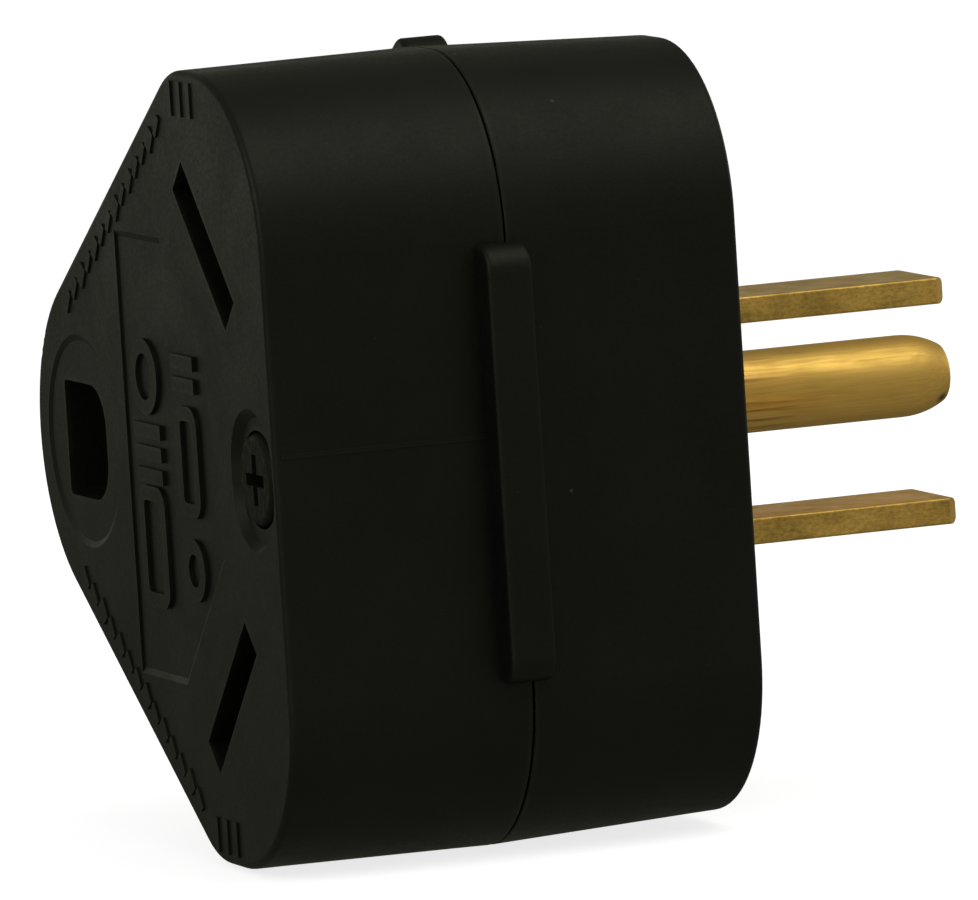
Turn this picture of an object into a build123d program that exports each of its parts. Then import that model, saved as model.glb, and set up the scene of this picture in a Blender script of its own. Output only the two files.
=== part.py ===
from build123d import *
import os
from math import cos, radians, sin, sqrt, tan

# Compact power adapter: a 15 A plug at one end of a moulded block and a 30 A trailer socket at the other.
#
# Frame (millimetres): the origin is on the plug face, midway between the two blades.
# +X points out along the blades, so the socket face looks along -X.
# +Y runs from the blades to the ground pin, and +Z is along the block's long flat side.
# The block is symmetric about Z = 0. The line parts are at +Z and the neutral parts at -Z.

# Body outline, seen along X: straight sides tangent to five corner circles
BODY_HEIGHT = 40.8        # from the flat side to the apex
CORNER_R = 9.9            # the two corners at the ends of the flat side
CORNER_Z = 12.7
SHOULDER_R = 6.0          # each of them turns more tightly into the slanted side
SHOULDER_STEP = 2.5       # from the corner's centre to the shoulder's, along Y
APEX_R = 10.1
BLADE_TO_FLAT = 11.2      # from the blades' centre line to the flat side
FLAT_Y = -BLADE_TO_FLAT
APEX_Y = FLAT_Y + BODY_HEIGHT

CORNER_Y = FLAT_Y + CORNER_R
SHOULDER_Y = CORNER_Y + SHOULDER_STEP
SHOULDER_Z = CORNER_Z + CORNER_R - SHOULDER_R
APEX_CENTRE_Y = APEX_Y - APEX_R
CORNERS = [
    (CORNER_Y, CORNER_Z, CORNER_R),
    (SHOULDER_Y, SHOULDER_Z, SHOULDER_R),
    (APEX_CENTRE_Y, 0, APEX_R),
    (SHOULDER_Y, -SHOULDER_Z, SHOULDER_R),
    (CORNER_Y, -CORNER_Z, CORNER_R),
]

# Body along X
BODY_DEPTH = 28.67
FACE_X = -BODY_DEPTH      # socket face
SEAM_X = FACE_X + 14.5    # joint between the two shells
SEAM_GAP = 0.1
SEAM_EDGE_R = 0.1
FRONT_DRAFT = 0.5         # degrees: the body widens from the socket face to the seam
REAR_DRAFT = 2.3          # degrees: it narrows from the seam to the plug face
FACE_EDGE_R = 0.4
PLUG_EDGE_R = 0.4

# Shell walls
WALL = 2.2
FACE_T = 3.0
BASE_T = 3.5
INNER_FACE_X = FACE_X + FACE_T
BASE_X = -BASE_T
LIP_OUT = 1.1             # the lip of the plug shell starts this far inside the outer skin
LIP_H = 1.2
LIP_CLEAR = 0.1
LIP_ROOT = 1.0            # the lip reaches this far into the plug shell's wall
REBATE_X = SEAM_X - LIP_H - 0.2

# Grip bars, one on each side, beside the seam
BAR_LENGTH = 24.8
BAR_PROUD = 2.0
BAR_WIDTH = 2.7
BAR_END_R = 1.5
BAR_EDGE_R = 0.3
BAR_ROOT = 0.9            # how far a bar is sunk into its shell
FLAT_BAR_X = -16.0        # front of the bar on the flat side, which laps over the seam
LAP_CLEAR = 0.15          # between that bar and the plug shell's skin
SLANT_BAR_X = SEAM_X + 0.6

# Plug, on the standard 15 A pattern
BLADE_T = 1.52
BLADE_W = 6.35
BLADE_Z = 6.35            # half of the 12.7 spacing
BLADE_OUT = 15.5
BLADE_TIP_W = 5.3         # width left at the tip by its two slanted corners
BLADE_TIP_SLOPE = 0.55
BLADE_TIP_R = 0.4         # rounding of the tip's thickness
BLADE_EDGE_R = 0.14
BLADE_CLEAR = 0.05
GROUND_Y = 11.89
GROUND_R = 2.4
GROUND_OUT = 21.0
GROUND_TAPER = 2.7        # length of the rounded tip
GROUND_TIP_R = 1.6
GROUND_TIP_EDGE_R = 0.45
GROUND_HOLE_R = 2.55      # hole for the pin in the plug face
NECK_LENGTH = 0.6         # the pin is narrower inside that hole, and wider behind it, where it can't pull out
NECK_R = 2.1
SHOULDER_PIN_R = 2.8
SHOULDER_CLEAR = 0.05
PIN_SEAM_WIDTH = 0.16     # groove where the rolled brass meets
PIN_SEAM_DEPTH = 0.25
DIMPLE_R = 0.7
DIMPLE_BOTTOM_R = 0.3
DIMPLE_DEPTH = 0.7

# Socket, on the 30 A trailer pattern
SLOT_Y = -1.5
SLOT_Z = 12.85
SLOT_ANGLE = 45.0
SLOT_LENGTH = 10.6
SLOT_WIDTH = 2.4
OPENING_WIDTH = 6.7       # ground opening: wide corners towards the slots and a flat towards the apex
OPENING_Y0 = 17.9
OPENING_Y1 = 24.8
OPENING_R = 2.4
OPENING_FLAT_R = 0.3
RING_Y = 21.5
RING_R = 6.2
RING_SLOPE = 0.35         # width of the sloping rim of the shallow ring
RELIEF = 0.14             # depth of the shallow ring and of the centre panel

# Centre panel of the socket face: its edges slope, but for the straight one towards the apex
PANEL_DRAFT = 68.0
PANEL_Y1 = 13.8
PANEL_Z1 = 12.8
PANEL_SHOULDER_Y = 6.1
PANEL_Y0 = -1.7
PANEL_Z0 = 5.0

# Raised marks moulded on the socket face: a plain motif in the panel and rows of dashes along the slanted edges
MARK_H = 0.24
MOTIF_STROKE = 0.85
MOTIF_FRAME_R = 1.2
MOTIF_HEAD_Y = 10.0       # the row of marks nearer to the apex
MOTIF_HEAD_TALL = 4.4
MOTIF_FOOT_Y = 3.3
MOTIF_FOOT_TALL = 3.6
DASH_H = 0.12
DASH_INSET = 1.7          # from the slanted edge to the middle of a dash
DASH_TALL = 1.3
DASH_PITCH = 1.6
DASH_COUNT = 14
DASH_WIDTHS = (0.45, 0.9, 0.45, 0.45, 0.7)
CORNER_DASHES = 3
CORNER_DASH_Y = 0.8
CORNER_DASH_Z = 21.0
CORNER_DASH_WIDTH = 0.5
CORNER_DASH_TALL = 2.0

# Plug face and flat side details
EJECTOR_R = 2.0
EJECTOR_DEPTH = 0.12
WITNESS_Z = 1.6           # a fine raised line on the flat side, from the socket face to the bar
WITNESS_WIDTH = 0.3
WITNESS_PROUD = 0.06

# Contacts, folded from brass strip
STRIP_T = 0.8
LEAF_LENGTH = 8.4
LEAF_TOP_X = FACE_X + 3.6
LEAF_PINCH_X = FACE_X + 6.7
LEAF_ROOT_X = FACE_X + 13.2
LEAF_MOUTH_V = 1.6        # half gaps between a pair of leaves
LEAF_PINCH_V = 0.65
LEAF_ROOT_V = 1.2
LEAF_WALL_STEP = 1.5      # the wall that joins a pair of leaves starts this far behind their pinch
STRAP_X0 = -13.4
STRAP_REACH = 2.6         # how far the strap runs past the blade's tab on one side
STRAP_PEAK = 3.0
STRAP_X1 = STRAP_X0 + STRIP_T
SPRING_T = 0.4
SPRING_CLEAR = 0.03
SPRING_START = 0.6        # from the leaves' pinch to the clip
SPRING_END = 0.9          # from the clip to the strap
SPRING_GAP = 0.2
SLEEVE_SPRING_LENGTH = 4.0
SLEEVE_Y = 21.2
SLEEVE_R = 3.2
SLEEVE_SLIT = 1.6
SLEEVE_STRAP_WIDTH = 5.6
SLEEVE_STRAP_Y0 = GROUND_Y - 3.0
POCKET_CLEAR = 0.7
POCKET_WALL = 1.0

# Blade roots and rivets
TAB_Z1 = 10.2
RIVET_Z = 8.8
RIVET_R = 0.9
RIVET_HEAD_R = 1.4
RIVET_HEAD_H = 0.7
RIVET_CLEAR = 0.2
PEDESTAL_HALF_Y = 3.9
PEDESTAL_Z0 = 4.6
PEDESTAL_Z1 = 8.4
GROUND_PEDESTAL_R = 4.3
TAIL_R = 1.5
TAIL_HEAD_R = 2.0
TAIL_HEAD_H = 0.9

# Assembly screw
SCREW_Y = -7.3
DISH_WIDTH = 6.8          # the dish round the head is longer along Z
DISH_STRETCH = 1.3
DISH_DEPTH = 0.45
DISH_DRAFT = 50.0
WELL_R = 2.8
HEAD_R = 2.65
HEAD_EDGE_R = 0.4
HEAD_TOP_X = FACE_X + 0.15
HEAD_SEAT_X = FACE_X + 2.1
SHANK_R = 1.45
SHANK_HOLE_R = 1.7
PILOT_R = 1.5
PILOT_END_X = -4.8
SHANK_END_X = -6.0
TIP_LENGTH = 1.6
TIP_END_R = 0.2
FRONT_BOSS_R = 4.1
REAR_BOSS_R = 2.9
CROSS_WIDTH = 0.7
CROSS_SPAN = 2.9
CROSS_DEPTH = 0.9


def section(x):
    """Plane across the body at x, whose first axis is +Y and second axis is +Z."""
    return Plane(origin=(x, 0, 0), x_dir=(0, 1, 0), z_dir=(1, 0, 0))


def slab(sketch, x0, x1):
    """A sketch in Y and Z, extruded from x0 to x1."""
    return extrude(section(x0) * sketch, amount=x1 - x0)


def disc(y, z, radius):
    return Pos(y, z) * Circle(radius)


def side_normal(start, end):
    """Outward normal, in Y and Z, of the straight side between two corner circles."""
    step = Vector(end[0] - start[0], end[1] - start[1])
    along = step.normalized()
    lean = (start[2] - end[2]) / step.length
    return along * lean + Vector(-along.Y, along.X) * sqrt(1 - lean ** 2)


def outline(offset=0.0):
    """The body's outline in Y and Z, grown outwards by offset."""
    normals = [side_normal(*pair) for pair in zip(CORNERS, CORNERS[1:] + CORNERS[:1])]
    arcs = []
    for index, (y, z, radius) in enumerate(CORNERS):
        before = normals[index - 1]
        after = normals[index]
        directions = (before, (before + after).normalized(), after)
        arcs.append(ThreePointArc(*[Vector(y, z) + direction * (radius + offset) for direction in directions]))
    sides = [Line(arc @ 1, following @ 0) for arc, following in zip(arcs, arcs[1:] + arcs[:1])]
    return make_face(arcs + sides)


def skin_offset(x):
    """How far the drafted outer skin stands outside the socket face's outline at x."""
    if x <= SEAM_X:
        return (x - FACE_X) * tan(radians(FRONT_DRAFT))
    return (SEAM_X - FACE_X) * tan(radians(FRONT_DRAFT)) - (x - SEAM_X) * tan(radians(REAR_DRAFT))


def drafted(x0, x1, inset=0.0):
    """The space inside the drafted skin, moved in by inset, from x0 to x1 on one side of the seam."""
    angle = REAR_DRAFT if x1 > SEAM_X else -FRONT_DRAFT
    block = slab(outline(skin_offset(x0) - inset), x0, x1)
    sides = block.faces().sort_by(Axis.X)[1:-1]
    return draft(sides, section(x0), angle)


def slot_frame():
    """Plane of the +Z slot: first axis +X, second axis across the slot, third axis along the slot."""
    angle = radians(SLOT_ANGLE)
    return Plane(origin=(0, SLOT_Y, SLOT_Z), x_dir=(1, 0, 0), z_dir=(0, cos(angle), sin(angle)))


def slot_point(along, across):
    """Y and Z of a point given along and across the +Z slot."""
    angle = radians(SLOT_ANGLE)
    y = SLOT_Y + along * cos(angle) + across * sin(angle)
    z = SLOT_Z + along * sin(angle) - across * cos(angle)
    return y, z


def slot_rectangle(along0, along1, across):
    """A rectangle in Y and Z on the +Z slot, from along0 to along1 and across either side."""
    corners = [(along0, -across), (along1, -across), (along1, across), (along0, across)]
    return make_face(Polyline(*[slot_point(*corner) for corner in corners], close=True))


def both_sides(part):
    """A part on the +Z side together with its mirror image."""
    return part + mirror(part, about=Plane.XY)


def slant():
    """Middle and outward normal, in Y and Z, of the slanted side on the +Z side."""
    normal = side_normal(CORNERS[1], CORNERS[2])
    ends = [Vector(y, z) + normal * radius for y, z, radius in CORNERS[1:3]]
    return (ends[0] + ends[1]) / 2, normal


def grip_bar(x0, middle, normal):
    """A bar with rounded ends that stands proud of a side whose middle and normal are given in Y and Z."""
    profile = Pos(0, (BAR_PROUD - BAR_ROOT) / 2) * Rectangle(BAR_LENGTH, BAR_PROUD + BAR_ROOT)
    profile = fillet(profile.vertices().group_by(Axis.Y)[-1], BAR_END_R)
    bar = extrude(profile, amount=BAR_WIDTH)
    rims = [edge for edge in bar.edges().filter_by(Plane.XY) if edge.center().Y > -BAR_ROOT / 2]
    side = Plane(origin=(x0, middle.X, middle.Y), x_dir=(0, normal.Y, -normal.X), z_dir=(1, 0, 0))
    return side * fillet(rims, BAR_EDGE_R)


def ground_opening():
    """The ground opening in Y and Z."""
    opening = Pos((OPENING_Y0 + OPENING_Y1) / 2, 0) * Rectangle(OPENING_Y1 - OPENING_Y0, OPENING_WIDTH)
    opening = fillet(opening.vertices().group_by(Axis.X)[0], OPENING_R)
    return fillet(opening.vertices().group_by(Axis.X)[-1], OPENING_FLAT_R)


def panel_recess():
    """The shallow panel in the middle of the socket face, whose slanted edges run beside the slots."""
    upper = [(PANEL_Y1, PANEL_Z1), (PANEL_SHOULDER_Y, PANEL_Z1), (PANEL_Y0, PANEL_Z0)]
    lower = [(y, -z) for y, z in reversed(upper)]
    recess = slab(make_face(Polyline(*upper, *lower, close=True)), FACE_X, FACE_X + RELIEF)
    sides = [face for face in recess.faces().sort_by(Axis.X)[1:-1] if face.center().Y < PANEL_Y1 - RELIEF]
    return draft(sides, section(FACE_X), PANEL_DRAFT)


def ring_recess():
    """The shallow round recess about the ground opening."""
    cone = Solid.make_cone(RING_R, RING_R - RING_SLOPE, RELIEF, plane=section(FACE_X))
    return cone.moved(Pos(0, RING_Y, 0))


def ring(y, z, radius):
    """A round outline of the motif."""
    return disc(y, z, radius) - disc(y, z, radius - MOTIF_STROKE)


def frame_mark(y, z, height, length):
    """A rounded rectangular outline of the motif."""
    outer = RectangleRounded(height, length, MOTIF_FRAME_R)
    inner = RectangleRounded(height - 2 * MOTIF_STROKE, length - 2 * MOTIF_STROKE, MOTIF_FRAME_R - MOTIF_STROKE)
    return Pos(y, z) * (outer - inner)


def bar_mark(y, z, height):
    """A plain bar of the motif."""
    return Pos(y, z) * Rectangle(height, MOTIF_STROKE)


def motif():
    """A plain pattern of rings, frames and bars in the panel."""
    marks = [ring(MOTIF_HEAD_Y, 4.6, MOTIF_HEAD_TALL / 2)]
    marks.append(frame_mark(MOTIF_HEAD_Y, -5.2, MOTIF_HEAD_TALL, 7.0))
    marks += [bar_mark(MOTIF_HEAD_Y, z, MOTIF_HEAD_TALL) for z in (1.5, 0.2, -1.1)]
    marks.append(frame_mark(MOTIF_FOOT_Y, 0.2, MOTIF_FOOT_TALL, 6.4))
    marks.append(ring(MOTIF_FOOT_Y, -6.0, MOTIF_FOOT_TALL / 2))
    marks += [bar_mark(MOTIF_FOOT_Y, z, MOTIF_FOOT_TALL) for z in (4.6, 5.9)]
    return Sketch() + marks


def dash_row():
    """Dashes of uneven width along the +Z slanted edge, and a few round the corner above it."""
    middle, normal = slant()
    along = Vector(normal.Y, -normal.X)
    turn = Vector(1, 0).get_signed_angle(along)
    dashes = []
    for index in range(DASH_COUNT):
        place = middle - normal * DASH_INSET + along * DASH_PITCH * (index - (DASH_COUNT - 1) / 2)
        width = DASH_WIDTHS[index % len(DASH_WIDTHS)]
        dashes.append(Pos(place.X, place.Y) * Rot(0, 0, turn) * Rectangle(width, DASH_TALL))
    for index in range(CORNER_DASHES):
        y = CORNER_DASH_Y + DASH_PITCH * (index - (CORNER_DASHES - 1) / 2)
        dashes.append(Pos(y, CORNER_DASH_Z) * Rectangle(CORNER_DASH_WIDTH, CORNER_DASH_TALL))
    return Sketch() + dashes


def face_marks():
    """All raised marks, as solids that stand on the socket face or on the panel's floor."""
    floor_x = FACE_X + RELIEF
    row = slab(dash_row(), FACE_X - DASH_H, floor_x)
    return slab(motif(), floor_x - MARK_H, floor_x + RELIEF) + both_sides(row)


def screw_well():
    """The dish, head well and clearance hole for the screw."""
    dish = Pos(SCREW_Y, 0) * SlotCenterToCenter(DISH_STRETCH, DISH_WIDTH, rotation=90)
    well = extrude(section(FACE_X) * dish, amount=DISH_DEPTH, taper=DISH_DRAFT)
    well += slab(disc(SCREW_Y, 0, WELL_R), FACE_X, HEAD_SEAT_X)
    return well + slab(disc(SCREW_Y, 0, SHANK_HOLE_R), FACE_X, SEAM_X)


def witness_line():
    """The fine raised line on the flat side."""
    band = Pos(FLAT_Y, WITNESS_Z) * Rectangle(WALL, WITNESS_WIDTH)
    return drafted(FACE_X, SEAM_X, -WITNESS_PROUD) & slab(band, FACE_X + FACE_EDGE_R, FLAT_BAR_X)


def receptacle_shell():
    end_x = SEAM_X - SEAM_GAP / 2
    body = drafted(FACE_X, end_x)
    body = fillet(body.edges().group_by(Axis.X)[0], FACE_EDGE_R)
    body = fillet(body.edges().group_by(Axis.X)[-1], SEAM_EDGE_R)
    body -= drafted(INNER_FACE_X, end_x, WALL)
    towers = slab(disc(SCREW_Y, 0, FRONT_BOSS_R), INNER_FACE_X, end_x)
    towers += slab(disc(SLEEVE_Y, 0, SLEEVE_R + STRIP_T + POCKET_CLEAR + POCKET_WALL), INNER_FACE_X, end_x)
    pocket_along = LEAF_LENGTH / 2 + STRIP_T + POCKET_CLEAR
    pocket_across = LEAF_ROOT_V + STRIP_T + POCKET_CLEAR
    wall_along = pocket_along + POCKET_WALL
    wall = slot_rectangle(-wall_along, wall_along, pocket_across + POCKET_WALL)
    towers += both_sides(slab(wall, INNER_FACE_X, end_x))
    body += towers & drafted(FACE_X, end_x, WALL / 2)
    body -= drafted(REBATE_X, end_x, LIP_OUT - LIP_CLEAR)
    slot = slot_rectangle(-SLOT_LENGTH / 2, SLOT_LENGTH / 2, SLOT_WIDTH / 2)
    pocket = slot_rectangle(-pocket_along, pocket_along, pocket_across)
    body -= both_sides(slab(slot, FACE_X, INNER_FACE_X) + slab(pocket, INNER_FACE_X, end_x))
    body -= slab(ground_opening(), FACE_X, INNER_FACE_X)
    body -= slab(disc(SLEEVE_Y, 0, SLEEVE_R + STRIP_T + POCKET_CLEAR), INNER_FACE_X, end_x)
    body -= ring_recess()
    body -= panel_recess()
    body += face_marks()
    body -= screw_well()
    body += witness_line()
    bar = grip_bar(FLAT_BAR_X, Vector(FLAT_Y, 0), Vector(-1, 0))
    return body + (bar - drafted(end_x, 0, -LAP_CLEAR))


def plug_shell():
    start_x = SEAM_X + SEAM_GAP / 2
    body = drafted(start_x, 0)
    body = fillet(body.edges().group_by(Axis.X)[-1], PLUG_EDGE_R)
    body = fillet(body.edges().group_by(Axis.X)[0], SEAM_EDGE_R)
    body -= drafted(start_x, BASE_X, WALL)
    lip = outline(skin_offset(SEAM_X) - LIP_OUT) - outline(skin_offset(SEAM_X) - WALL)
    body += slab(lip, SEAM_X - LIP_H, start_x + LIP_ROOT)
    body += slab(disc(SCREW_Y, 0, REAR_BOSS_R), REBATE_X, BASE_X)
    body += slab(disc(GROUND_Y, 0, GROUND_PEDESTAL_R), STRAP_X1, BASE_X)
    tab_under_x = STRAP_X1 + BLADE_T
    block = Pos(0, (PEDESTAL_Z0 + PEDESTAL_Z1) / 2) * Rectangle(2 * PEDESTAL_HALF_Y, PEDESTAL_Z1 - PEDESTAL_Z0)
    pedestal = slab(block, tab_under_x, BASE_X)
    rivet_space = disc(0, RIVET_Z, RIVET_HEAD_R + RIVET_CLEAR)
    pedestal -= slab(rivet_space, tab_under_x, tab_under_x + RIVET_HEAD_H + RIVET_CLEAR)
    body += both_sides(pedestal)
    blade_hole = Pos(0, BLADE_Z) * Rectangle(BLADE_W + 2 * BLADE_CLEAR, BLADE_T + 2 * BLADE_CLEAR)
    body -= both_sides(slab(blade_hole, STRAP_X1, 0))
    body -= slab(disc(GROUND_Y, 0, SHOULDER_PIN_R + SHOULDER_CLEAR), STRAP_X1, -NECK_LENGTH)
    body -= slab(disc(GROUND_Y, 0, GROUND_HOLE_R), -NECK_LENGTH, 0)
    body -= slab(disc(SCREW_Y, 0, PILOT_R), REBATE_X, PILOT_END_X)
    for y, z in ((CORNER_Y, CORNER_Z), (CORNER_Y, -CORNER_Z), (APEX_CENTRE_Y, 0)):
        body -= slab(disc(y, z, EJECTOR_R), -EJECTOR_DEPTH, 0)
    middle, normal = slant()
    bar = grip_bar(SLANT_BAR_X, middle, normal) - drafted(SEAM_X, 0, WALL / 2)
    return body + both_sides(bar)


def blade():
    """The +Z plug blade, with its root bent outwards into a riveting tab."""
    half = BLADE_W / 2
    tip = BLADE_TIP_W / 2
    shoulder_x = BLADE_OUT - BLADE_TIP_SLOPE
    points = [(STRAP_X1, -half), (shoulder_x, -half), (BLADE_OUT, -tip), (BLADE_OUT, tip), (shoulder_x, half)]
    flat = make_face(Polyline(*points, (STRAP_X1, half), close=True))
    body = Pos(0, 0, BLADE_Z) * extrude(flat, amount=BLADE_T / 2, both=True)
    side = Plane(origin=(0, 0, BLADE_Z), x_dir=(1, 0, 0), z_dir=(0, -1, 0))
    profile = Pos((STRAP_X1 + BLADE_OUT) / 2, 0) * Rectangle(BLADE_OUT - STRAP_X1, BLADE_T)
    profile = fillet(profile.vertices().group_by(Axis.X)[-1], BLADE_TIP_R)
    body &= extrude(side * profile, amount=BLADE_W, both=True)
    body = fillet(body.edges().filter_by(Axis.X), BLADE_EDGE_R)
    tab_height = TAB_Z1 - BLADE_Z + BLADE_T / 2
    tab = Pos(0, TAB_Z1 - tab_height / 2) * Rectangle(BLADE_W, tab_height)
    body += slab(tab, STRAP_X1, STRAP_X1 + BLADE_T)
    return body - slab(disc(0, RIVET_Z, RIVET_R), STRAP_X1, STRAP_X1 + BLADE_T)


def ground_pin():
    """Round ground pin with a rounded tip, a rolled seam on its +Y side, a neck in the plug face and a staked
    tail."""
    taper_x = GROUND_OUT - GROUND_TAPER
    root = [(GROUND_OUT, 0), (STRAP_X1, 0), (STRAP_X1, SHOULDER_PIN_R), (-NECK_LENGTH, SHOULDER_PIN_R)]
    neck = [(-NECK_LENGTH, NECK_R), (0, NECK_R), (0, GROUND_R), (taper_x, GROUND_R)]
    curve = TangentArc((taper_x, GROUND_R), (GROUND_OUT, GROUND_TIP_R), tangent=(1, 0))
    end = Line((GROUND_OUT, GROUND_TIP_R), (GROUND_OUT, 0))
    pin = revolve(make_face(Polyline(*root, *neck) + curve + end), axis=Axis.X)
    pin = fillet(pin.edges().group_by(Axis.X)[-1], GROUND_TIP_EDGE_R)
    pin += slab(Circle(TAIL_R), STRAP_X0, STRAP_X1)
    pin += slab(Circle(TAIL_HEAD_R), STRAP_X0 - TAIL_HEAD_H, STRAP_X0)
    seam = slab(Pos(GROUND_R, 0) * Rectangle(2 * PIN_SEAM_DEPTH, PIN_SEAM_WIDTH), 0, taper_x)
    dimple = Solid.make_cone(DIMPLE_BOTTOM_R, DIMPLE_R, DIMPLE_DEPTH, plane=section(GROUND_OUT - DIMPLE_DEPTH))
    return Pos(0, GROUND_Y, 0) * (pin - seam - dimple)


def strip(points, thickness):
    """Profile of a bent strip: points give its inner face, and it is thicker outwards by thickness."""
    outer = [(x, v + thickness) for x, v in reversed(points)]
    return make_face(Polyline(*points, *outer, close=True))


def leaf_points(x0, x1, offset=0.0):
    """The bent inner face of a leaf between x0 and x1, moved outwards by offset."""
    corners = [(LEAF_TOP_X, LEAF_MOUTH_V), (LEAF_PINCH_X, LEAF_PINCH_V), (LEAF_ROOT_X, LEAF_ROOT_V)]
    corners.append((STRAP_X1, LEAF_ROOT_V))

    def v_at(x):
        for (xa, va), (xb, vb) in zip(corners, corners[1:]):
            if x <= xb:
                return va + (vb - va) * (x - xa) / (xb - xa)
        return LEAF_ROOT_V

    stations = [x0] + [x for x, _ in corners if x0 < x < x1] + [x1]
    return [(x, v_at(x) + offset) for x in stations]


def pair_of_strips(profile, along0, along1):
    """A strip profile extruded along the +Z slot, on both sides of the slot's middle."""
    frame = slot_frame()
    one = extrude(Pos(0, 0, along0) * profile, amount=along1 - along0)
    other = mirror(one, about=Plane.XZ)
    return frame * one, frame * other


def slot_contact():
    """The +Z contact: two leaves joined at the slot's outer end, and a strap to the blade's tab."""
    half = LEAF_LENGTH / 2
    inner_leaf, outer_leaf = pair_of_strips(strip(leaf_points(LEAF_TOP_X, STRAP_X1), STRIP_T), -half, half)
    wall_top_x = LEAF_PINCH_X + LEAF_WALL_STEP
    side = leaf_points(wall_top_x, STRAP_X1, STRIP_T)
    wall_face = make_face(Polyline(*side, *[(x, -v) for x, v in reversed(side)], close=True))
    end_wall = slot_frame() * extrude(Pos(0, 0, half) * wall_face, amount=STRIP_T)
    half_w = BLADE_W / 2
    low_z = TAB_Z1 - STRAP_REACH
    corners = [slot_point(half, LEAF_ROOT_V), slot_point(-half, LEAF_ROOT_V), (-half_w, low_z), (half_w, low_z)]
    strap = slab(make_face(Polyline(*corners, (half_w, TAB_Z1 + STRAP_PEAK), close=True)), STRAP_X0, STRAP_X1)
    contact = inner_leaf + outer_leaf + end_wall + strap
    return contact - slab(disc(0, RIVET_Z, RIVET_R), STRAP_X0, STRAP_X1)


def slot_spring():
    """Steel clip round the +Z contact's leaves, slipped on from the slot's inner end."""
    x0 = LEAF_PINCH_X + SPRING_START
    x1 = STRAP_X0 - SPRING_END
    inner = leaf_points(x0, x1, STRIP_T + SPRING_CLEAR)
    base_along = -LEAF_LENGTH / 2 - SPRING_GAP
    arms = pair_of_strips(strip(inner, SPRING_T), base_along, LEAF_LENGTH / 4)
    side = leaf_points(x0, x1, STRIP_T + SPRING_CLEAR + SPRING_T)
    base_face = make_face(Polyline(*side, *[(x, -v) for x, v in reversed(side)], close=True))
    base = slot_frame() * extrude(Pos(0, 0, base_along - SPRING_T) * base_face, amount=SPRING_T)
    return arms[0] + arms[1] + base


def slit_ring(inner_r, outer_r, x0, x1):
    """A ring round the ground socket's axis, slit on the side towards the apex."""
    slit = Pos(SLEEVE_Y + outer_r, 0) * Rectangle(2 * outer_r, SLEEVE_SLIT)
    return slab(disc(SLEEVE_Y, 0, outer_r) - disc(SLEEVE_Y, 0, inner_r) - slit, x0, x1)


def ground_contact():
    sleeve = slit_ring(SLEEVE_R, SLEEVE_R + STRIP_T, LEAF_TOP_X, STRAP_X1)
    strap_y1 = SLEEVE_Y - SLEEVE_R
    plate = Pos((SLEEVE_STRAP_Y0 + strap_y1) / 2, 0) * Rectangle(strap_y1 - SLEEVE_STRAP_Y0, SLEEVE_STRAP_WIDTH)
    strap = slab(plate, STRAP_X0, STRAP_X1) - slab(disc(SLEEVE_Y, 0, SLEEVE_R), STRAP_X0, STRAP_X1)
    return sleeve + strap - slab(disc(GROUND_Y, 0, TAIL_R), STRAP_X0, STRAP_X1)


def ground_spring():
    inner_r = SLEEVE_R + STRIP_T + SPRING_CLEAR
    return slit_ring(inner_r, inner_r + SPRING_T, LEAF_PINCH_X, LEAF_PINCH_X + SLEEVE_SPRING_LENGTH)


def rivets():
    """One rivet for each blade's tab, through the strap."""
    tab_x = STRAP_X1 + BLADE_T
    rivet = slab(disc(0, RIVET_Z, RIVET_R), STRAP_X0, tab_x)
    rivet += slab(disc(0, RIVET_Z, RIVET_HEAD_R), STRAP_X0 - RIVET_HEAD_H, STRAP_X0)
    rivet += slab(disc(0, RIVET_Z, RIVET_HEAD_R), tab_x, tab_x + RIVET_HEAD_H)
    return both_sides(rivet)


def assembly_screw():
    head = slab(Circle(HEAD_R), HEAD_TOP_X, HEAD_SEAT_X)
    head = fillet(head.edges().group_by(Axis.X)[0], HEAD_EDGE_R)
    arm = Rectangle(CROSS_SPAN, CROSS_WIDTH) + Rectangle(CROSS_WIDTH, CROSS_SPAN)
    head -= slab(arm, HEAD_TOP_X, HEAD_TOP_X + CROSS_DEPTH)
    shank_x = SHANK_END_X - TIP_LENGTH
    shank = slab(Circle(SHANK_R), HEAD_SEAT_X, shank_x)
    tip = Solid.make_cone(SHANK_R, TIP_END_R, TIP_LENGTH, plane=section(shank_x))
    return Pos(0, SCREW_Y, 0) * (head + shank + tip)


def main():
    os.makedirs("parts", exist_ok=True)
    nodes = {
        "receptacle_shell": receptacle_shell(),
        "plug_shell": plug_shell(),
        "assembly_screw": assembly_screw(),
        "line_blade": blade(),
        "neutral_blade": mirror(blade(), about=Plane.XY),
        "ground_pin": ground_pin(),
        "line_contact": slot_contact(),
        "neutral_contact": mirror(slot_contact(), about=Plane.XY),
        "ground_contact": ground_contact(),
        "line_spring": slot_spring(),
        "neutral_spring": mirror(slot_spring(), about=Plane.XY),
        "ground_spring": ground_spring(),
        "contact_rivets": rivets(),
    }
    for name, shape in nodes.items():
        export_step(shape, f"parts/{name}.step")
        print(name, len(shape.solids()), round(shape.volume, 1))


main()
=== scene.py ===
import math

import bpy
from mathutils import Matrix, Vector


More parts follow.
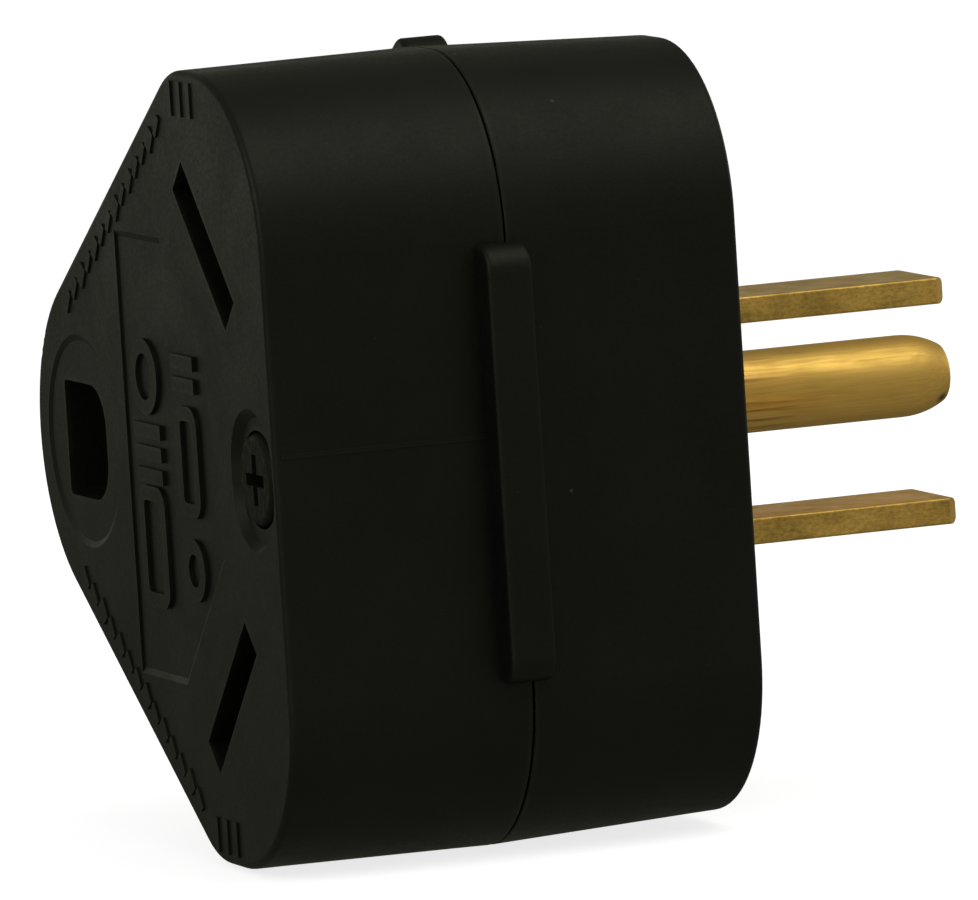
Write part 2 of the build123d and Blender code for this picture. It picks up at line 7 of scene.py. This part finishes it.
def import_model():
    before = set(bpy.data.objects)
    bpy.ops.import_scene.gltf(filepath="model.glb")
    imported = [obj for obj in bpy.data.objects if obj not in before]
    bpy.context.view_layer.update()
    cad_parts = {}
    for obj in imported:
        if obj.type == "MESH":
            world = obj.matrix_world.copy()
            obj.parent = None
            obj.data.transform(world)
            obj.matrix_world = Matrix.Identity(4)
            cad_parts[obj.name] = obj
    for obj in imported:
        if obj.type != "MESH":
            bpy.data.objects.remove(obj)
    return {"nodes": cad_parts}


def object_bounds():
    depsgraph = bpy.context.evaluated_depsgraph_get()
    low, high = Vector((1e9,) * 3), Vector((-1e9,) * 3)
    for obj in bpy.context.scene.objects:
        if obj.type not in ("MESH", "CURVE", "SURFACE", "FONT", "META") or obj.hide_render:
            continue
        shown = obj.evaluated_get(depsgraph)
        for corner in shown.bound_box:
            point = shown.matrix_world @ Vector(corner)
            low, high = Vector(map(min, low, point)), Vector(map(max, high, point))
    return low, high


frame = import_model()
cad_low, cad_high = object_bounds()

# The looks of a compact black power adapter with a brass plug. Lengths are in millimetres until they are
# scaled by MM: the frame is in metres.
MM = 0.001

# Camera: where it stands, and how far to the right of and above the frame's origin it aims
AIM_RIGHT = -10.95
AIM_UP = -1.61
CAMERA_DISTANCE = 856.6
CAMERA_AZIMUTH = 20.26
CAMERA_ELEVATION = 6.13
CAMERA_ROLL = -3.64
CAMERA_LENS = 552.0
SENSOR_WIDTH = 36.0

# Stage
FLOOR_SIZE = 6000.0
FLOOR_GLOW = 0.78
FLOOR_COLOUR = (0.7, 0.7, 0.86, 1.0)

# Room: brightness from front to back and from low to high. Each has two places along its axis, and the
# brightness at them.
ROOM_FRONT_BACK = (-0.6, 0.7, 0.36, 0.18)
ROOM_LOW_HIGH = (-0.5, 0.5, 0.7, 0.95)
ROOM_COLOUR = (1.0, 1.01, 0.80, 1.0)

# Soft lights: direction from the frame's origin, distance, width and height, power in watts
LIGHTS = {
    "overhead": ((0.3, -0.42, 0.86), 700, (700, 560), 1.35),
    "back_card": ((-0.1, 1.0, 0.1), 230, (420, 70), 0.026),
    "left_soft": ((-0.88, -0.25, 0.4), 600, (400, 400), 0.7),
    "right_soft": ((0.93, 0.33, 0.2), 600, (400, 200), 0.3),
}
LAMP_COLOUR = (1.0, 1.01, 0.82)

# Marks on the ground pin: the middles and strengths of two streaks along X, and a fleck on its rounded tip
PIN_STREAKS = (((6.4, 9.66, 0.87), 0.75), ((6.6, 9.56, -0.58), 0.45))
STREAK_REACH = 0.22
STREAK_LENGTH = 26.0      # times its reach
PIN_FLECK = (20.4, 10.5, -1.35)
FLECK_REACH = 0.55

# The two colour sockets of a Mix node, and the sockets that set a Map Range node
MIX_FIRST = 6
MIX_SECOND = 7
RANGE_SOCKETS = ("From Min", "From Max", "To Min", "To Max")

# Colours, linear
PLASTIC_DARK = (0.0035, 0.0039, 0.0031, 1.0)
PLASTIC_PALE = (0.0068, 0.0073, 0.0058, 1.0)
PLASTIC_WORN = (0.016, 0.016, 0.014, 1.0)
DUST = (0.06, 0.058, 0.05, 1.0)
BRASS_BRIGHT = (0.97, 0.61, 0.17, 1.0)
BRASS_DULL = (0.54, 0.34, 0.09, 1.0)
BRASS_OLIVE = (0.26, 0.17, 0.045, 1.0)
# Brown of the pin's stains, also used as the painted shade in the brass's corners and hollows
BRASS_STAIN_AND_SHADE = (0.28, 0.13, 0.04, 1.0)
FLECK_DARK = (0.03, 0.018, 0.008, 1.0)
STEEL_DARK = (0.012, 0.0115, 0.0095, 1.0)
STEEL_BRIGHT = (0.45, 0.44, 0.41, 1.0)


class Shading:
    """A new material with short calls for the nodes that this file uses. Vectors are in millimetres."""

    def __init__(self, name, roughness, metallic=0.0):
        self.material = bpy.data.materials.new(name)
        self.material.use_nodes = True
        self.tree = self.material.node_tree
        self.shader = self.tree.nodes["Principled BSDF"]
        self.shader.inputs["Roughness"].default_value = roughness
        self.shader.inputs["Metallic"].default_value = metallic
        self.source = self.tree.nodes.new("ShaderNodeTexCoord")
        self.place = self.mapping(self.source.outputs["Object"], (1 / MM,) * 3)

    def mapping(self, vector, scale, turn=(0, 0, 0)):
        node = self.tree.nodes.new("ShaderNodeMapping")
        node.inputs["Scale"].default_value = scale
        node.inputs["Rotation"].default_value = [math.radians(a) for a in turn]
        self.tree.links.new(vector, node.inputs["Vector"])
        return node.outputs["Vector"]

    def noise(self, size, stretch=(1, 1, 1), detail=3.0, rough=0.5, warp=0.0):
        """Cloudy noise whose features are about size millimetres across, longer where stretch is above 1."""
        node = self.tree.nodes.new("ShaderNodeTexNoise")
        node.inputs["Scale"].default_value = 1 / size
        node.inputs["Detail"].default_value = detail
        node.inputs["Roughness"].default_value = rough
        node.inputs["Distortion"].default_value = warp
        vector = self.place
        if stretch != (1, 1, 1):
            vector = self.mapping(vector, [1 / s for s in stretch])
        self.tree.links.new(vector, node.inputs["Vector"])
        return node.outputs["Fac"]

    def axis(self, vector, name):
        """One coordinate of a vector."""
        node = self.tree.nodes.new("ShaderNodeSeparateXYZ")
        self.tree.links.new(vector, node.inputs["Vector"])
        return node.outputs[name]

    def near(self, point, reach, length=1.0):
        """1 at a point, falling to 0 at a distance of reach millimetres, or length times that along X."""
        node = self.tree.nodes.new("ShaderNodeVectorMath")
        node.operation = "DISTANCE"
        node.inputs[1].default_value = (point[0] / length, point[1], point[2])
        self.tree.links.new(self.mapping(self.place, (1 / length, 1, 1)), node.inputs[0])
        return self.remap(node.outputs["Value"], reach, 0.0)

    def cells(self, size):
        """Distance to the nearest of scattered points that are about size millimetres apart."""
        node = self.tree.nodes.new("ShaderNodeTexVoronoi")
        node.inputs["Scale"].default_value = 1 / size
        self.tree.links.new(self.place, node.inputs["Vector"])
        return node.outputs["Distance"]

    def occlusion(self, reach, inside=False):
        """Openness within reach millimetres: low in corners, or near edges when it looks inside."""
        node = self.tree.nodes.new("ShaderNodeAmbientOcclusion")
        node.samples = 8
        node.inside = inside
        node.only_local = True
        node.inputs["Distance"].default_value = reach * MM
        return node.outputs["AO"]

    def remap(self, value, low, high, to_low=0.0, to_high=1.0):
        node = self.tree.nodes.new("ShaderNodeMapRange")
        node.interpolation_type = "SMOOTHSTEP"
        self.tree.links.new(value, node.inputs["Value"])
        for socket, number in zip(RANGE_SOCKETS, (low, high, to_low, to_high)):
            node.inputs[socket].default_value = number
        return node.outputs["Result"]

    def math(self, kind, first, second=0):
        node = self.tree.nodes.new("ShaderNodeMath")
        node.operation = kind
        for socket, value in zip(node.inputs, (first, second)):
            if isinstance(value, (int, float)):
                socket.default_value = value
            else:
                self.tree.links.new(value, socket)
        return node.outputs["Value"]

    def mix(self, share, first, second):
        node = self.tree.nodes.new("ShaderNodeMix")
        node.data_type = "RGBA"
        self.tree.links.new(share, node.inputs["Factor"])
        for socket, value in ((node.inputs[MIX_FIRST], first), (node.inputs[MIX_SECOND], second)):
            if isinstance(value, tuple):
                socket.default_value = value
            else:
                self.tree.links.new(value, socket)
        return node.outputs[2]

    def bump(self, height, depth, strength=1.0, below=None):
        """Bump of depth millimetres from a height between 0 and 1, on top of another bump."""
        node = self.tree.nodes.new("ShaderNodeBump")
        node.inputs["Strength"].default_value = strength
        node.inputs["Distance"].default_value = depth * MM
        self.tree.links.new(height, node.inputs["Height"])
        if below is not None:
            self.tree.links.new(below, node.inputs["Normal"])
        return node.outputs["Normal"]

    def feed(self, socket, value):
        """Links a value to one of the shader's sockets."""
        self.tree.links.new(value, self.shader.inputs[socket])


def moulded_plastic():
    """Black moulded plastic: fine spark texture, faint flow clouds, handling marks and a little dust."""
    look = Shading("moulded_black", roughness=0.46)
    cloud = look.noise(9.0, detail=4.0, rough=0.6)
    grain = look.noise(0.22, detail=3.0, rough=0.6)
    pale = look.math("ADD", look.remap(cloud, 0.3, 0.7, 0.0, 0.6), look.remap(grain, 0.3, 0.7, 0.0, 0.5))
    colour = look.mix(pale, PLASTIC_DARK, PLASTIC_PALE)
    rubbed = look.noise(2.2, stretch=(5, 1, 1), detail=5.0, rough=0.65)
    edge = look.remap(look.occlusion(0.5, inside=True), 0.92, 0.6)
    edge = look.math("MULTIPLY", edge, look.remap(rubbed, 0.35, 0.65, 0.25, 1.0))
    colour = look.mix(look.math("MULTIPLY", edge, 0.8), colour, PLASTIC_WORN)
    specks = look.remap(look.cells(4.6), 0.028, 0.018)
    lint = look.remap(look.cells(1.9), 0.03, 0.018, 0.0, 0.35)
    dust = look.math("MAXIMUM", look.math("MULTIPLY", specks, 0.8), lint)
    look.feed("Base Color", look.mix(dust, colour, DUST))
    patch = look.remap(look.noise(5.0, detail=5.0, rough=0.62, warp=0.4), 0.25, 0.75, 0.36, 0.46)
    rough = look.math("ADD", patch, look.remap(grain, 0.3, 0.7, 0.0, 0.1))
    look.feed("Roughness", look.math("ADD", rough, look.math("MULTIPLY", edge, -0.06)))
    texture = look.bump(grain, 0.016, 0.7)
    look.feed("Normal", look.bump(look.noise(3.5, detail=2.0), 0.06, 0.5, texture))
    look.shader.inputs["Specular IOR Level"].default_value = 0.2
    return look.material


def brass(name, roughness=0.3, dull=0.45, sheared=False, stained=False):
    """Brass drawn along X: fine lines, dull patches, and painted shade: brown darkening in the corners and
    hollows.

    Sheared strip has grainy, mottled edges where it faces along Y. A stained pin has brown streaks along its
    inner half, and a fleck on its tip."""
    look = Shading(name, roughness, metallic=1.0)
    lines = look.noise(0.12, stretch=(26, 1, 1), detail=4.0, rough=0.6)
    patch = look.remap(look.noise(2.4, detail=5.0, rough=0.6, warp=0.6), 0.35, 0.7)
    share = look.math("ADD", look.math("MULTIPLY", patch, dull), look.remap(lines, 0.35, 0.75, 0.0, 0.25))
    colour = look.mix(share, BRASS_BRIGHT, BRASS_DULL)
    rough = look.math("ADD", look.remap(lines, 0.3, 0.7, roughness - 0.06, roughness + 0.1),
                      look.math("MULTIPLY", patch, 0.1))
    normal = look.bump(lines, 0.006, 0.7)
    # Painted shade: the colour turns brown where the occlusion is low, in corners and hollows
    painted_corner_shade = look.remap(look.occlusion(0.5), 0.85, 0.3)
    colour = look.mix(look.math("MULTIPLY", painted_corner_shade, 0.8), colour, BRASS_STAIN_AND_SHADE)
    if sheared:
        facing = look.math("ABSOLUTE", look.axis(look.source.outputs["Normal"], "Y"))
        edge = look.remap(facing, 0.75, 0.95)
        grain = look.noise(0.2, stretch=(1.6, 1, 1), detail=4.0, rough=0.7)
        clouds = look.noise(1.4, stretch=(2.5, 1, 1), detail=3.0)
        grain_spots = look.remap(grain, 0.35, 0.7, 0.0, 0.42)
        spots = look.math("ADD", grain_spots, look.remap(clouds, 0.4, 0.65, 0.0, 0.3))
        colour = look.mix(look.math("MULTIPLY", spots, edge), colour, BRASS_OLIVE)
        rough = look.math("ADD", rough, look.math("MULTIPLY", edge, 0.14))
        normal = look.bump(look.math("MULTIPLY", grain, edge), 0.03, 0.8, normal)
    if stained:
        streaks = look.remap(look.noise(0.3, stretch=(24, 1, 1), detail=3.0, rough=0.55), 0.52, 0.64)
        near_root = look.remap(look.axis(look.place, "X"), 14.0, 8.0)
        streaks = look.math("MULTIPLY", streaks, near_root)
        streaks = look.math("MULTIPLY", streaks, 0.6)
        for point, strength in PIN_STREAKS:
            streak = look.math("MULTIPLY", look.near(point, STREAK_REACH, STREAK_LENGTH), strength)
            streaks = look.math("MAXIMUM", streaks, streak)
        colour = look.mix(streaks, colour, BRASS_STAIN_AND_SHADE)
        fleck = look.near(PIN_FLECK, FLECK_REACH)
        colour = look.mix(look.math("MULTIPLY", fleck, 0.9), colour, FLECK_DARK)
    look.feed("Base Color", colour)
    look.feed("Roughness", rough)
    look.feed("Normal", normal)
    return look.material


def steel(name, colour, roughness, metallic=1.0, specular=0.5):
    """Steel with a mottled finish, bare or, where it is less metallic, with a black coat."""
    look = Shading(name, roughness, metallic)
    look.shader.inputs["Specular IOR Level"].default_value = specular
    grain = look.noise(0.5, detail=5.0, rough=0.6)
    dim = tuple(c * 0.55 for c in colour[:3]) + (1.0,)
    look.feed("Base Color", look.mix(look.remap(grain, 0.35, 0.7), colour, dim))
    look.feed("Roughness", look.remap(grain, 0.3, 0.7, roughness - 0.08, roughness + 0.12))
    look.feed("Normal", look.bump(grain, 0.01, 0.5))
    return look.material


def dress(names, material):
    """Gives CAD nodes a material in place of their own."""
    for name in names:
        node = frame["nodes"][name]
        node.data.materials.clear()
        node.data.materials.append(material)


def floor(height):
    """A pale floor just under the part, which keeps out of the part's own reflections."""
    half = FLOOR_SIZE * MM / 2
    corners = [(-half, -half, height), (half, -half, height), (half, half, height), (-half, half, height)]
    mesh = bpy.data.meshes.new("floor")
    mesh.from_pydata(corners, [], [(0, 1, 2, 3)])
    plane = bpy.data.objects.new("floor", mesh)
    bpy.context.scene.collection.objects.link(plane)
    paper = bpy.data.materials.new("paper")
    paper.use_nodes = True
    shader = paper.node_tree.nodes["Principled BSDF"]
    shader.inputs["Base Color"].default_value = FLOOR_COLOUR
    shader.inputs["Roughness"].default_value = 0.9
    shader.inputs["Specular IOR Level"].default_value = 0.1
    shader.inputs["Emission Color"].default_value = (1, 1, 1, 1)
    shader.inputs["Emission Strength"].default_value = FLOOR_GLOW
    mesh.materials.append(paper)
    plane.visible_glossy = False
    plane.visible_diffuse = False


def world():
    """White where the camera looks past the floor. Everything else sees a dim room, brighter in front and
    above."""
    scene_world = bpy.data.worlds.new("room")
    bpy.context.scene.world = scene_world
    scene_world.use_nodes = True
    tree = scene_world.node_tree
    tree.nodes.clear()
    place = tree.nodes.new("ShaderNodeTexCoord")
    split = tree.nodes.new("ShaderNodeSeparateXYZ")
    tree.links.new(place.outputs["Generated"], split.inputs["Vector"])
    shares = []
    for axis, (low, high, to_low, to_high) in (("Y", ROOM_FRONT_BACK), ("Z", ROOM_LOW_HIGH)):
        share = tree.nodes.new("ShaderNodeMapRange")
        share.interpolation_type = "SMOOTHSTEP"
        tree.links.new(split.outputs[axis], share.inputs["Value"])
        for socket, number in zip(RANGE_SOCKETS, (low, high, to_low, to_high)):
            share.inputs[socket].default_value = number
        shares.append(share.outputs["Result"])
    product = tree.nodes.new("ShaderNodeMath")
    product.operation = "MULTIPLY"
    for share, socket in zip(shares, product.inputs):
        tree.links.new(share, socket)
    room = tree.nodes.new("ShaderNodeBackground")
    room.inputs["Color"].default_value = ROOM_COLOUR
    tree.links.new(product.outputs["Value"], room.inputs["Strength"])
    white = tree.nodes.new("ShaderNodeBackground")
    path = tree.nodes.new("ShaderNodeLightPath")
    choose = tree.nodes.new("ShaderNodeMixShader")
    output = tree.nodes.new("ShaderNodeOutputWorld")
    tree.links.new(path.outputs["Is Camera Ray"], choose.inputs["Fac"])
    tree.links.new(room.outputs["Background"], choose.inputs[1])
    tree.links.new(white.outputs["Background"], choose.inputs[2])
    tree.links.new(choose.outputs["Shader"], output.inputs["Surface"])


def area_light(name, direction, distance, size, power):
    """A soft rectangular light, aimed at the frame's origin from a direction."""
    data = bpy.data.lights.new(name, "AREA")
    data.shape = "RECTANGLE"
    data.size, data.size_y = (s * MM for s in size)
    data.energy = power
    data.color = LAMP_COLOUR
    light = bpy.data.objects.new(name, data)
    bpy.context.scene.collection.objects.link(light)
    towards = Vector(direction).normalized()
    light.location = towards * distance * MM
    light.rotation_mode = "QUATERNION"
    light.rotation_quaternion = towards.to_track_quat("Z", "Y")
    light.visible_camera = False


def camera():
    """The camera, turned about the origin and then moved so that it aims a little beside it."""
    turn = Matrix.Rotation(-math.radians(CAMERA_AZIMUTH), 4, "Z")
    tilt = Matrix.Rotation(math.radians(90 - CAMERA_ELEVATION), 4, "X")
    roll = Matrix.Rotation(math.radians(CAMERA_ROLL), 4, "Z")
    pose = turn @ tilt @ roll
    offset = Vector((AIM_RIGHT, AIM_UP, CAMERA_DISTANCE)) * MM
    data = bpy.data.cameras.new("camera")
    data.lens = CAMERA_LENS
    data.sensor_width = SENSOR_WIDTH
    data.clip_start = 0.01
    data.clip_end = 100.0
    view = bpy.data.objects.new("camera", data)
    view.matrix_world = Matrix.Translation(pose.to_3x3() @ offset) @ pose
    bpy.context.scene.collection.objects.link(view)
    bpy.context.scene.camera = view


bpy.context.scene.view_settings.view_transform = "Standard"
camera()
world()
floor(cad_low.z)
for light_name, setting in LIGHTS.items():
    area_light(light_name, *setting)

dress(["receptacle_shell", "plug_shell"], moulded_plastic())
dress(["line_blade", "neutral_blade"], brass("brass_strip", roughness=0.34, dull=0.5, sheared=True))
dress(["ground_pin"], brass("brass_pin", roughness=0.44, dull=0.08, stained=True))
dress(["line_contact", "neutral_contact", "ground_contact", "contact_rivets"], brass("brass_contact"))
dress(["assembly_screw"], steel("screw_black", STEEL_DARK, 0.5, metallic=0.0, specular=0.08))
dress(["line_spring", "neutral_spring", "ground_spring"], steel("spring_steel", STEEL_BRIGHT, 0.3))
